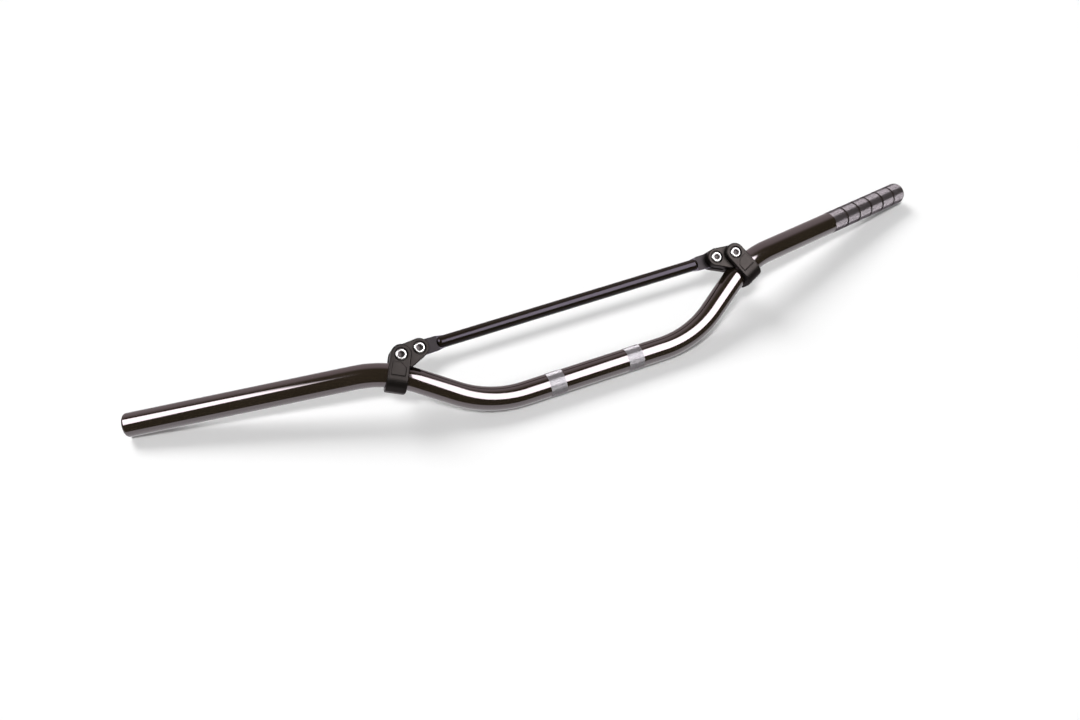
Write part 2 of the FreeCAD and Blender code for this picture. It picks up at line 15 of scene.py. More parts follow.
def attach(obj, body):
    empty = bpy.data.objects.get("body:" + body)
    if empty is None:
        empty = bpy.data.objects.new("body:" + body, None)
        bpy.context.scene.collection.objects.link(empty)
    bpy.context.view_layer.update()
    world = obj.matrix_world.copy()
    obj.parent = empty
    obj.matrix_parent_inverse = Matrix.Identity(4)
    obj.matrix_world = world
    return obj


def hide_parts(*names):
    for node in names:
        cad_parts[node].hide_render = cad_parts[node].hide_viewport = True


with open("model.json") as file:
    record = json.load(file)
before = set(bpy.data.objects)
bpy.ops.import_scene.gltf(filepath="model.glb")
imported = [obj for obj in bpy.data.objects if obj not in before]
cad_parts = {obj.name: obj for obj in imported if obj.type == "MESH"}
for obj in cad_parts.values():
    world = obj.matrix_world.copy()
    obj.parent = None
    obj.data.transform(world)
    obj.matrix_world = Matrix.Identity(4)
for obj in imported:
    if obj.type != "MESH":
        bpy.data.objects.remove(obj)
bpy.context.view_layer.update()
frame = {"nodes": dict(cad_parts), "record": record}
mounts = {mount["name"]: mount for mount in frame["record"]["mounts"]}

# The tube's sizes
TUBE_RADIUS = 0.0111
BORE_RADIUS = 0.0066
END_ROUND = 0.003
LOWER_CORNER = Vector((0.1051, 0.0, 0.0))
LOWER_BEND = 0.1055
KNEE = Vector((0.1852, 0.0, 0.0572))
KNEE_BEND = 0.105
TIP = Vector((0.4173, 0.0618, 0.0851))
RISER_SEAT_WIDTH = 0.0156
GRIP_KNURL_LENGTH = 0.1164
GROOVES = 5
GROOVE_PITCH = 0.0194
GROOVE_WIDTH = 0.0024
GROOVE_DEPTH = 0.0006

# The knurling on the seats: each diamond is four points wide and long, with a flat crest of half its width
KNURL_RADIUS = 0.0113
RISER_KNURL_DEPTH = 0.00031
GRIP_KNURL_DEPTH = 0.00026
DIAMONDS_AROUND = 48
DIAMOND_POINTS = 4
AROUND = DIAMOND_POINTS * DIAMONDS_AROUND
KNURL_STEP = 2 * math.pi * KNURL_RADIUS / AROUND

# How finely the tube is cut into rings
BEND_STEP = math.radians(2.0)
BORE_BEND_STEP = math.radians(4.0)
ROUND_STEPS = 8
SHARP_EDGE = math.radians(28)
WELD = 0.000001

# Finishes of the tube, in the order of its material slots
GLOSS, RISER_KNURL, GRIP_KNURL, GROOVE, BORE = range(5)


# Shader helpers

def new_material(name):
    """A material with a Principled shader, returned with its nodes and links."""
    material = bpy.data.materials.new(name)
    material.use_nodes = True
    nodes = material.node_tree.nodes
    shader = nodes["Principled BSDF"]
    return material, nodes, material.node_tree.links, shader


def set_sockets(node, **values):
    """Sets a node's unlinked inputs by name, with an underscore for each space."""
    for name, value in values.items():
        node.inputs[name.replace("_", " ")].default_value = value


def new_group(name, inputs, outputs):
    """A shader node group with these float inputs, given with their defaults, and these float outputs."""
    group = bpy.data.node_groups.new(name, "ShaderNodeTree")
    for label, default in inputs.items():
        socket = group.interface.new_socket(label, in_out="INPUT", socket_type="NodeSocketFloat")
        socket.default_value = default
    for label in outputs:
        group.interface.new_socket(label, in_out="OUTPUT", socket_type="NodeSocketFloat")
    way_in = group.nodes.new("NodeGroupInput")
    way_out = group.nodes.new("NodeGroupOutput")
    return group, way_in, way_out


def place_group(nodes, group, **values):
    """A use of a node group in a material, with its own values."""
    node = nodes.new("ShaderNodeGroup")
    node.node_tree = group
    set_sockets(node, **values)
    return node


def new_blend(nodes):
    """A node that mixes two colours."""
    blend = nodes.new("ShaderNodeMix")
    blend.data_type = "RGBA"
    return blend


def new_math(nodes, kind, operation):
    """A Math or VectorMath node that does one operation."""
    node = nodes.new(kind)
    node.operation = operation
    return node


# The part of the noise's range that is spread from Low to High
CLOUD_RANGE = (0.3, 0.7)

# The cosines between the softened and the true normal at which the painted shade along an edge starts and is
# full
EDGE_LEAN = (0.996, 0.95)
EDGE_SAMPLES = 6

# The fine bumps of satin finishes
GRAIN_SCALE = 2500.0
GRAIN_DEPTH = 0.000003


def make_mottle():
    """A soft cloudy value between Low and High, for finishes that are never quite even."""
    group, way_in, way_out = new_group("mottle", {"Scale": 60.0, "Low": 0.0, "High": 1.0}, ["Value"])
    place = group.nodes.new("ShaderNodeTexCoord")
    noise = group.nodes.new("ShaderNodeTexNoise")
    set_sockets(noise, Detail=4.0, Roughness=0.6)
    spread = group.nodes.new("ShaderNodeMapRange")
    set_sockets(spread, From_Min=CLOUD_RANGE[0], From_Max=CLOUD_RANGE[1])
    group.links.new(place.outputs["Object"], noise.inputs["Vector"])
    group.links.new(way_in.outputs["Scale"], noise.inputs["Scale"])
    group.links.new(noise.outputs["Fac"], spread.inputs["Value"])
    group.links.new(way_in.outputs["Low"], spread.inputs["To Min"])
    group.links.new(way_in.outputs["High"], spread.inputs["To Max"])
    group.links.new(spread.outputs["Result"], way_out.inputs["Value"])
    return group


def make_painted_edge_shade_mask():
    """A mask of a piece's edges, as wide as Radius, where shade is painted."""
    group, way_in, way_out = new_group("painted_edge_shade_mask", {"Radius": 0.0006}, ["Mask"])
    softened = group.nodes.new("ShaderNodeBevel")
    softened.samples = EDGE_SAMPLES
    true = group.nodes.new("ShaderNodeNewGeometry")
    lean = new_math(group.nodes, "ShaderNodeVectorMath", "DOT_PRODUCT")
    spread = group.nodes.new("ShaderNodeMapRange")
    set_sockets(spread, From_Min=EDGE_LEAN[0], From_Max=EDGE_LEAN[1])
    group.links.new(way_in.outputs["Radius"], softened.inputs["Radius"])
    group.links.new(softened.outputs["Normal"], lean.inputs[0])
    group.links.new(true.outputs["Normal"], lean.inputs[1])
    group.links.new(lean.outputs["Value"], spread.inputs["Value"])
    group.links.new(spread.outputs["Result"], way_out.inputs["Mask"])
    return group


MOTTLE = make_mottle()
PAINTED_EDGE_SHADE_MASK = make_painted_edge_shade_mask()


def mottled(nodes, links, socket, scale, low, high):
    """Feeds a shader's number with a cloudy value."""
    clouds = place_group(nodes, MOTTLE, Scale=scale, Low=low, High=high)
    links.new(clouds.outputs["Value"], socket)


def tinted(nodes, links, socket, scale, dark, light):
    """Feeds a shader's colour with a cloudy blend of two colours, and returns the blend."""
    clouds = place_group(nodes, MOTTLE, Scale=scale)
    blend = new_blend(nodes)
    blend.inputs["A"].default_value = (*dark, 1.0)
    blend.inputs["B"].default_value = (*light, 1.0)
    links.new(clouds.outputs["Value"], blend.inputs["Factor"])
    links.new(blend.outputs["Result"], socket)
    return blend.outputs["Result"]


def with_painted_edge_shade(nodes, links, socket, colour, edge, radius):
    """Feeds a shader's colour with another colour that turns to a painted shade along the edges."""
    line = place_group(nodes, PAINTED_EDGE_SHADE_MASK, Radius=radius)
    blend = new_blend(nodes)
    blend.inputs["B"].default_value = (*edge, 1.0)
    links.new(line.outputs["Mask"], blend.inputs["Factor"])
    links.new(colour, blend.inputs["A"])
    links.new(blend.outputs["Result"], socket)


def grained(nodes, links, shader):
    """Gives a shader a fine bumpy grain."""
    grain = place_group(nodes, MOTTLE, Scale=GRAIN_SCALE)
    bump = nodes.new("ShaderNodeBump")
    set_sockets(bump, Strength=1.0, Distance=GRAIN_DEPTH)
    links.new(grain.outputs["Value"], bump.inputs["Height"])
    links.new(bump.outputs["Normal"], shader.inputs["Normal"])


def beyond(nodes, links, reach):
    """One where the surface lies further along the bar from its middle than this, and nought elsewhere."""
    place = nodes.new("ShaderNodeTexCoord")
    split = nodes.new("ShaderNodeSeparateXYZ")
    far = new_math(nodes, "ShaderNodeMath", "ABSOLUTE")
    past = new_math(nodes, "ShaderNodeMath", "GREATER_THAN")
    past.inputs[1].default_value = reach
    links.new(place.outputs["Object"], split.inputs[0])
    links.new(split.outputs["X"], far.inputs[0])
    links.new(far.outputs[0], past.inputs[0])
    return past.outputs[0]


def switched(nodes, links, socket, mask, off, on):
    """Feeds a shader's number with one value where a mask is nought and another where it is one."""
    switch = nodes.new("ShaderNodeMapRange")
    set_sockets(switch, To_Min=off, To_Max=on)
    links.new(mask, switch.inputs["Value"])
    links.new(switch.outputs["Result"], socket)


# Finishes

# Tints of what the finishes reflect
GLOSS_SHEEN = (1.0, 0.87, 0.93, 1.0)
PLUM_SHEEN = (1.0, 0.86, 0.92, 1.0)
LAVENDER_SHEEN = (0.86, 0.76, 1.0, 1.0)
KNURL_SHEEN = (0.5, 0.46, 0.5, 1.0)
CLAMP_SHEEN = (0.4, 0.35, 0.37, 1.0)

# The metal's share in the clamps' and the crossbar's flats' finish, and how far out those flats start
FLAT_METAL = 0.7
ROD_END = 0.1335

# Painted shade: the dark lines along the edges of the clamps and the flats
EDGE_SHADE_WIDTH = 0.0009
EDGE_PAINTED_SHADE = (0.003, 0.0025, 0.002)


def make_gloss_black():
    """Polished black anodising, with a faint plum sheen in what it reflects."""
    material, nodes, links, shader = new_material("gloss_black")
    set_sockets(shader, IOR=2.14, Specular_Tint=GLOSS_SHEEN)
    tinted(nodes, links, shader.inputs["Base Color"], scale=25.0,
           dark=(0.010, 0.007, 0.004), light=(0.015, 0.011, 0.007))
    mottled(nodes, links, shader.inputs["Roughness"], scale=40.0, low=0.07, high=0.11)
    return material


def make_knurl(name, dark, light):
    """Knurled metal under a thin anodised skin, whose facets glint but darken towards the tube's edges."""
    material, nodes, links, shader = new_material(name)
    set_sockets(shader, Metallic=0.7, IOR=1.3, Specular_Tint=KNURL_SHEEN)
    tinted(nodes, links, shader.inputs["Base Color"], scale=500.0, dark=dark, light=light)
    mottled(nodes, links, shader.inputs["Roughness"], scale=300.0, low=0.19, high=0.25)
    return material


def make_satin_black(name, dark, light, low, high, gloss):
    """Satin black finish with a fine grain."""
    material, nodes, links, shader = new_material(name)
    set_sockets(shader, IOR=gloss, Specular_Tint=PLUM_SHEEN)
    tinted(nodes, links, shader.inputs["Base Color"], scale=80.0, dark=dark, light=light)
    mottled(nodes, links, shader.inputs["Roughness"], scale=200.0, low=low, high=high)
    grained(nodes, links, shader)
    return material


def make_clamp_black():
    """Black anodising with a metal's glint that fades on slanting faces, and painted shade in dark lines
    along the edges.
    """
    material, nodes, links, shader = new_material("clamp_black")
    set_sockets(shader, Metallic=FLAT_METAL, IOR=1.29, Specular_Tint=CLAMP_SHEEN)
    colour = tinted(nodes, links, shader.inputs["Base Color"], scale=80.0,
                    dark=(0.018, 0.0155, 0.0148), light=(0.023, 0.020, 0.019))
    # Painted shade: the base colour turns near-black along the edges.
    with_painted_edge_shade(nodes, links, shader.inputs["Base Color"], colour, EDGE_PAINTED_SHADE, EDGE_SHADE_WIDTH)
    mottled(nodes, links, shader.inputs["Roughness"], scale=200.0, low=0.33, high=0.4)
    grained(nodes, links, shader)
    return material


def make_rod_black():
    """Satin black with a lavender sheen on the rod, and a duller black on the flats at its ends, with painted
    shade in dark lines along the flats' edges.
    """
    material, nodes, links, shader = new_material("rod_black")
    set_sockets(shader, IOR=1.33, Specular_Tint=LAVENDER_SHEEN)
    on_flat = beyond(nodes, links, ROD_END)
    blend = new_blend(nodes)
    tinted(nodes, links, blend.inputs["A"], scale=80.0,
           dark=(0.011, 0.008, 0.004), light=(0.014, 0.010, 0.005))
    flat = tinted(nodes, links, blend.inputs["B"], scale=80.0,
                  dark=(0.010, 0.0087, 0.0082), light=(0.013, 0.0113, 0.0107))
    # Painted shade: the flats' base colour turns near-black along their edges.
    with_painted_edge_shade(nodes, links, blend.inputs["B"], flat, EDGE_PAINTED_SHADE, EDGE_SHADE_WIDTH)
    links.new(on_flat, blend.inputs["Factor"])
    links.new(blend.outputs["Result"], shader.inputs["Base Color"])
    switched(nodes, links, shader.inputs["Metallic"], on_flat, off=0.0, on=FLAT_METAL)
    switched(nodes, links, shader.inputs["Roughness"], on_flat, off=0.17, on=0.36)
    grained(nodes, links, shader)
    return material


def make_bright_plate():
    """Bright plated steel."""
    material, nodes, links, shader = new_material("bright_plate")
    set_sockets(shader, Metallic=1.0)
    tinted(nodes, links, shader.inputs["Base Color"], scale=150.0,
           dark=(0.50, 0.49, 0.50), light=(0.62, 0.61, 0.62))
    mottled(nodes, links, shader.inputs["Roughness"], scale=300.0, low=0.28, high=0.38)
    return material


# The tube's line

def bend_at(before, corner, after, radius):
    """The round that takes a corner of the line: its first point, middle, turning axis and angle."""
    way_in = (corner - before).normalized()
    way_out = (after - corner).normalized()
    angle = way_in.angle(way_out)
    axis = way_in.cross(way_out).normalized()
    start = corner - way_in * radius * math.tan(angle / 2)
    return start, start + axis.cross(way_in) * radius, axis, angle


def half_line():
    """The left half of the tube's line as stretches from the middle outwards.

    Each stretch is its length, its bend's radius or nought, and a function that gives the point and the way
    at a distance along it.
    """
    stretches = []

    def straight(start, end):
        way = (end - start).normalized()
        stretches.append(((end - start).length, 0.0, lambda along: (start + way * along, way)))

    def round_corner(before, corner, after, radius):
        start, middle, axis, angle = bend_at(before, corner, after, radius)
        way = (corner - before).normalized()

        def place(along):
            turn = Quaternion(axis, along / radius)
            return middle + turn @ (start - middle), turn @ way

        stretches.append((radius * angle, radius, place))
        return place(radius * angle)[0]

    lower_start = bend_at(Vector(), LOWER_CORNER, KNEE, LOWER_BEND)[0]
    straight(Vector(), lower_start)
    leg_start = round_corner(Vector(), LOWER_CORNER, KNEE, LOWER_BEND)
    knee_start = bend_at(LOWER_CORNER, KNEE, TIP, KNEE_BEND)[0]
    straight(leg_start, knee_start)
    grip_start = round_corner(LOWER_CORNER, KNEE, TIP, KNEE_BEND)
    straight(grip_start, TIP)
    return stretches


STRETCHES = half_line()
HALF_LENGTH = sum(length for length, radius, place in STRETCHES)


def point_at(along):
    """The point of the tube's line and its way to the right, at a distance from the left end."""
    from_middle = HALF_LENGTH - along
    side = 1.0 if from_middle >= 0.0 else -1.0
    rest = abs(from_middle)
    for length, radius, place in STRETCHES:
        if rest <= length or place is STRETCHES[-1][2]:
            point, way = place(rest)
            break
        rest -= length
    if side > 0:
        return point, -way
    return Vector((-point.x, point.y, point.z)), Vector((-way.x, way.y, way.z))


def ring_places(first, last, bend_step):
    """Distances from the left end between two others at which the tube needs a ring, those two included."""
    marks = []
    along = 0.0
    for length, radius, place in STRETCHES:
        steps = max(1, round(length / radius / bend_step)) if radius else 1
        marks += [along + length * step / steps for step in range(steps)]
        along += length
    both = [HALF_LENGTH - mark for mark in marks] + [HALF_LENGTH + mark for mark in marks]
    clear = KNURL_STEP
    inner = sorted({place for place in both if first + clear < place < last - clear})
    return [first] + inner + [last]


# The tube's wall

# A ring of the tube's wall: its finish is that of the strip leading to it, and only a knurled ring has a row
Ring = namedtuple("Ring", "along radius finish knurl_row knurl_depth")


class Wall:
    """The rings of the tube's wall, one after another."""

    def __init__(self):
        self.rings = []

    def add(self, along, radius, finish, knurl_row=None, knurl_depth=0.0):
        """The next ring. A knurled ring has its row's number and the depth of its grooves."""
        self.rings.append(Ring(along, radius, finish, knurl_row, knurl_depth))

    def plain(self, first, last, radius, finish):
        """A smooth stretch."""
        for along in ring_places(first, last, BEND_STEP):
            self.add(along, radius, finish)

    def knurled(self, first, last, finish, depth):
        """A knurled stretch, stepping up from and down to what is next to it."""
        rows = round((last - first) / KNURL_STEP)
        for row in range(rows + 1):
            self.add(first + (last - first) * row / rows, KNURL_RADIUS, finish, row, depth)

    def rounded_end(self, end, inwards, finish, rising):
        """The rounded rim of one end, from its face out to the tube's side or back."""
        rim = []
        for step in range(ROUND_STEPS + 1):
            turn = math.pi / 2 * step / ROUND_STEPS
            rim.append((END_ROUND * (1 - math.sin(turn)), TUBE_RADIUS - END_ROUND * (1 - math.cos(turn))))
        for inset, radius in reversed(rim) if rising else rim[1:]:
            self.add(end + inwards * inset, radius, finish)


def tube_wall():
    """All rings of the tube: the outside from left to right, then the bore back to the left."""
    wall = Wall()
    length = 2 * HALF_LENGTH
    wall.add(0.0, BORE_RADIUS, BORE)
    wall.rounded_end(0.0, 1.0, GROOVE, True)
    start = END_ROUND
    groove_radius = TUBE_RADIUS - GROOVE_DEPTH
    for groove in range(1, GROOVES + 1):
        middle = groove * GROOVE_PITCH
        wall.knurled(start, middle - GROOVE_WIDTH / 2, GRIP_KNURL, GRIP_KNURL_DEPTH)
        wall.plain(middle - GROOVE_WIDTH / 2, middle + GROOVE_WIDTH / 2, groove_radius, GROOVE)
        start = middle + GROOVE_WIDTH / 2
    wall.knurled(start, GRIP_KNURL_LENGTH, GRIP_KNURL, GRIP_KNURL_DEPTH)
    start = GRIP_KNURL_LENGTH
    for name in ("left_riser_seat", "right_riser_seat"):
        middle = HALF_LENGTH - mounts[name]["pos_m"][0]
        wall.plain(start, middle - RISER_SEAT_WIDTH / 2, TUBE_RADIUS, GLOSS)
        first, start = middle - RISER_SEAT_WIDTH / 2, middle + RISER_SEAT_WIDTH / 2
        wall.knurled(first, start, RISER_KNURL, RISER_KNURL_DEPTH)
    wall.plain(start, length - END_ROUND, TUBE_RADIUS, GLOSS)
    wall.rounded_end(length, -1.0, GLOSS, False)
    wall.add(length, BORE_RADIUS, GLOSS)
    for along in reversed(ring_places(0.0, length, BORE_BEND_STEP)[1:-1]):
        wall.add(along, BORE_RADIUS, BORE)
    return wall.rings


def lay_down():
    """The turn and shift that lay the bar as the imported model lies."""
    grip_way = TIP - KNEE
    lying_way = mounts["left_grip_seat"]["axis"]
    tilt = math.atan2(lying_way[2], lying_way[1]) - math.atan2(grip_way.z, grip_way.y)
    seat = mounts["left_riser_seat"]["pos_m"]
    return Matrix.Translation((0.0, seat[1], seat[2])) @ Matrix.Rotation(tilt, 4, "X")


def in_knurl_groove(row, step):
    """Whether a point of the knurling lies in one of the two crossing sets of slanting grooves."""
    return (row + step) % DIAMOND_POINTS == 0 or (row - step) % DIAMOND_POINTS == 0


def knurl_faces(row, step, corners):
    """Two triangles for one cell of the knurling, cut along a groove or along the edge of a crest."""
    places = ((row, step), (row, step + 1), (row + 1, step + 1), (row + 1, step))
    even = (row + step) % 2
    along_groove = in_knurl_groove(*places[even]) and in_knurl_groove(*places[even + 2])
    start = even if along_groove else 1 - even
    turned = corners[start:] + corners[:start]
    return [(turned[0], turned[1], turned[2]), (turned[0], turned[2], turned[3])]


def finish_mesh(mesh):
    """Lays a mesh made in the bar's frame down in the row frame, faces outwards and sharp edges marked."""
    shell = bmesh.new()
    shell.from_mesh(mesh)
    bmesh.ops.remove_doubles(shell, verts=shell.verts, dist=WELD)
    bmesh.ops.recalc_face_normals(shell, faces=shell.faces)
    shell.to_mesh(mesh)
    shell.free()
    mesh.transform(lay_down())
    mesh.polygons.foreach_set("use_smooth", [True] * len(mesh.polygons))
    mesh.set_sharp_from_angle(angle=SHARP_EDGE)


def place_piece(name, mesh):
    """An object of the bar from a finished mesh."""
    piece = bpy.data.objects.new(name, mesh)
    bpy.context.scene.collection.objects.link(piece)
    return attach(piece, "root")


def build_tube(finishes):
    """The tube as one closed mesh, in place of the plain CAD tube."""
    rings = tube_wall()
    verts = []
    way, side = None, None
    for ring in rings:
        point, new_way = point_at(ring.along)
        if way is None:
            side = new_way.orthogonal().normalized()
        else:
            side = way.rotation_difference(new_way) @ side
        way = new_way
        across = way.cross(side)
        for step in range(AROUND):
            turn = 2 * math.pi * step / AROUND
            sunk = ring.knurl_row is not None and in_knurl_groove(ring.knurl_row, step)
            reach = ring.radius - ring.knurl_depth if sunk else ring.radius
            verts.append(point + (side * math.cos(turn) + across * math.sin(turn)) * reach)
    faces, marks, smooth = [], [], []
    for index, ring in enumerate(rings):
        next_index = (index + 1) % len(rings)
        next_ring = rings[next_index]
        first, second = index * AROUND, next_index * AROUND
        knurled = ring.knurl_row is not None and next_ring.knurl_row is not None
        for step in range(AROUND):
            after = (step + 1) % AROUND
            corners = (first + step, first + after, second + after, second + step)
            cell = knurl_faces(ring.knurl_row, step, corners) if knurled else [corners]
            faces += cell
            marks += [next_ring.finish] * len(cell)
            smooth += [not knurled] * len(cell)
    mesh = bpy.data.meshes.new("handlebar_tube_dressed")
    mesh.from_pydata(verts, [], faces)
    mesh.polygons.foreach_set("material_index", marks)
    mesh.polygons.foreach_set("use_smooth", smooth)
    for material in finishes:
        mesh.materials.append(material)
    mesh.transform(lay_down())
    mesh.set_sharp_from_angle(angle=SHARP_EDGE)
    tube = place_piece("handlebar_tube_dressed", mesh)
    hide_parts("handlebar_tube")


# The screws: button heads with a key socket, and threaded shanks

HEAD_RADIUS = 0.00525
HEAD_HEIGHT = 0.0033
HEAD_EDGE = 0.0018
CROWN_RADIUS = 0.0034
SOCKET_FLATS = 0.004
SOCKET_MOUTH = 0.0003
SOCKET_DEPTH = 0.0020
SOCKET_POINT = 0.0027
THREAD_PITCH = 0.001
THREAD_DEPTH = 0.0004
THREAD_LENGTH = 0.014
THREAD_STEPS = 4
SCREW_AROUND = 48
CROWN_STEPS = 8
# A screw's finishes: bright plate, and a near-black one in the key socket and round its mouth, which is
# painted shade for the recess.
PLATE, SOCKET_SHADE = range(2)


def in_bar_frame(node):
    """A CAD node's points in the bar's own frame."""
    to_bar = lay_down().inverted()
    return [to_bar @ vert.co for vert in frame["nodes"][node].data.vertices]


def axis_place(points):
    """Where across and up the bar a round piece's axis is."""
    across = [point.x for point in points]
    up = [point.z for point in points]
    return (min(across) + max(across)) / 2, (min(up) + max(up)) / 2


def socket_radius(turn):
    """The key socket's half width at an angle."""
    sixth = math.pi / 3
    return SOCKET_FLATS / 2 / math.cos(turn % sixth - sixth / 2)


def screw_rings(length, shank):
    """Depth below the head's top, radius and finish of each ring of a screw, from its socket to its tail.

    A ring whose radius is None follows the socket's six sides.
    """
    rings = [(SOCKET_POINT, 0.0, SOCKET_SHADE), (SOCKET_DEPTH, None, SOCKET_SHADE), (SOCKET_MOUTH, None, SOCKET_SHADE),
             (0.0, CROWN_RADIUS, SOCKET_SHADE)]
    drop = HEAD_HEIGHT - HEAD_EDGE
    for step in range(1, CROWN_STEPS + 1):
        part = step / CROWN_STEPS
        radius = CROWN_RADIUS + (HEAD_RADIUS - CROWN_RADIUS) * math.sin(part * math.pi / 2)
        rings.append((drop * (1 - math.cos(part * math.pi / 2)), radius, PLATE))
    rings += [(HEAD_HEIGHT, HEAD_RADIUS, PLATE), (HEAD_HEIGHT, shank, PLATE)]
    first = max(HEAD_HEIGHT + THREAD_PITCH, length - THREAD_LENGTH)
    steps = int((length - first) / THREAD_PITCH * THREAD_STEPS)
    for step in range(steps + 1):
        wave = (1 - math.cos(2 * math.pi * step / THREAD_STEPS)) / 2
        rings.append((first + step * THREAD_PITCH / THREAD_STEPS, shank - THREAD_DEPTH * wave, PLATE))
    rings += [(length, shank - THREAD_DEPTH, PLATE), (length, 0.0, PLATE)]
    return rings


def dress_screw(node, finishes):
    """A screw with a crowned head, key socket and thread, in place of the plain CAD screw."""
    points = in_bar_frame(node)
    across, up = axis_place(points)
    top = min(point.y for point in points)
    tail = max(point.y for point in points)
    below_head = [point for point in points if point.y > top + HEAD_HEIGHT * 2]
    shank = max(math.hypot(point.x - across, point.z - up) for point in below_head)
    rings = screw_rings(tail - top, shank)
    verts, faces, marks = [], [], []
    for depth, radius, _ in rings:
        for step in range(SCREW_AROUND):
            turn = 2 * math.pi * step / SCREW_AROUND
            reach = socket_radius(turn) if radius is None else radius
            verts.append((across + reach * math.cos(turn), top + depth, up + reach * math.sin(turn)))
    for index in range(len(rings) - 1):
        for step in range(SCREW_AROUND):
            after = (step + 1) % SCREW_AROUND
            first, second = index * SCREW_AROUND, (index + 1) * SCREW_AROUND
            faces.append((first + step, first + after, second + after, second + step))
            marks.append(rings[index + 1][2])
    mesh = bpy.data.meshes.new(node + "_threaded")
    mesh.from_pydata(verts, [], faces)
    mesh.polygons.foreach_set("material_index", marks)
    for material in finishes:
        mesh.materials.append(material)
    finish_mesh(mesh)
    screw = place_piece(node + "_threaded", mesh)
    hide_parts(node)


# The bare panels on the straps

LINE_SAMPLES = 400
PANEL_HALF_WIDTH = 0.0067
PANEL_TOP = 0.0068
PANEL_BOTTOM = 0.0192
PANEL_CLIP = (0.0052, 0.0043)
PANEL_RISE = 0.0003
PANEL_SINK = 0.0002
PANEL_SLOPE = 0.0004


def build_panel(hand, finish):
    """The raised bare panel on a strap's face, below its screw, with its inner upper corner clipped."""
    face = min(point.y for point in in_bar_frame(hand + "_strap"))
    screw_x, screw_z = axis_place(in_bar_frame(hand + "_clamp_screw"))
    screw = Vector((screw_x, face, screw_z))
    outward = 1.0 if screw_x > 0 else -1.0
    line = [point_at(HALF_LENGTH * step / LINE_SAMPLES)[0] for step in range(LINE_SAMPLES)]
    seat = min(line, key=lambda point: math.hypot(point.x - abs(screw_x), point.z - screw_z))
    down = Vector((outward * seat.x - screw_x, 0.0, seat.z - screw_z)).normalized()
    inward = Vector((outward * down.z, 0.0, -outward * down.x))

    def outline(inset, rise):
        wide = PANEL_HALF_WIDTH - inset
        high, low = PANEL_TOP + inset, PANEL_BOTTOM - inset
        clip_across, clip_down = PANEL_CLIP
        corners = [(-wide, low), (wide, low), (wide, high + clip_down), (wide - clip_across, high),
                   (-wide, high)]
        raised = screw - Vector((0.0, rise, 0.0))
        return [raised + inward * across + down * below for across, below in corners]

    base, top = outline(0.0, -PANEL_SINK), outline(PANEL_SLOPE, PANEL_RISE)
    count = len(base)
    faces = [tuple(range(count, 2 * count)), tuple(reversed(range(count)))]
    for step in range(count):
        after = (step + 1) % count
        faces.append((step, after, count + after, count + step))
    mesh = bpy.data.meshes.new(hand + "_strap_panel")
    mesh.from_pydata(base + top, [], faces)
    mesh.materials.append(finish)
    finish_mesh(mesh)
    place_piece(hand + "_strap_panel", mesh)


# Finishes on the pieces

gloss_black = make_gloss_black()
riser_knurl = make_knurl("silver_riser_knurl", dark=(0.29, 0.278, 0.294), light=(0.37, 0.355, 0.375))
grip_knurl = make_knurl("grey_grip_knurl", dark=(0.125, 0.112, 0.121), light=(0.16, 0.145, 0.156))
groove_black = make_satin_black("groove_black", dark=(0.008, 0.005, 0.003), light=(0.013, 0.009, 0.006),
                                low=0.35, high=0.5, gloss=1.3)
bore_grey = make_satin_black("bore_grey", dark=(0.05, 0.047, 0.045), light=(0.08, 0.075, 0.07),
                             low=0.4, high=0.55, gloss=1.45)
rod_black = make_rod_black()
clamp_black = make_clamp_black()
bright_plate = make_bright_plate()
# Painted shade: the screws' key sockets are near-black, though the plated steel would be bright there too.
socket_painted_shade = make_satin_black("socket_painted_shade", dark=(0.010, 0.010, 0.008), light=(0.03, 0.03, 0.025),
                               low=0.3, high=0.4, gloss=1.4)

build_tube([gloss_black, riser_knurl, grip_knurl, groove_black, bore_grey])

FINISH_OF = {"crossbar": rod_black}
for hand in ("left", "right"):
    FINISH_OF[hand + "_link"] = clamp_black
    FINISH_OF[hand + "_strap"] = clamp_black
    build_panel(hand, clamp_black)
    for bolt in ("link", "clamp"):
        FINISH_OF[hand + "_" + bolt + "_nut"] = bright_plate
        dress_screw(hand + "_" + bolt + "_screw", [bright_plate, socket_painted_shade])
for node, material in FINISH_OF.items():
    frame["nodes"][node].data.materials.clear()
    frame["nodes"][node].data.materials.append(material)


# Studio

FLOOR_SIZE = 8.0
FLOOR_LIFT = 0.1


def any_ray(nodes, links, kinds):
    """One for a ray of any of these kinds, and nought for others."""
    path = nodes.new("ShaderNodeLightPath")
    total = path.outputs[kinds[0]]
    for kind in kinds[1:]:
        larger = new_math(nodes, "ShaderNodeMath", "MAXIMUM")
        links.new(total, larger.inputs[0])
        links.new(path.outputs[kind], larger.inputs[1])
        total = larger.outputs[0]
    return total


def bare_material(name):
    """A material with only its output node, returned with its nodes, links and that node."""
    material = bpy.data.materials.new(name)
    material.use_nodes = True
    nodes = material.node_tree.nodes
    nodes.clear()
    return material, nodes, material.node_tree.links, nodes.new("ShaderNodeOutputMaterial")


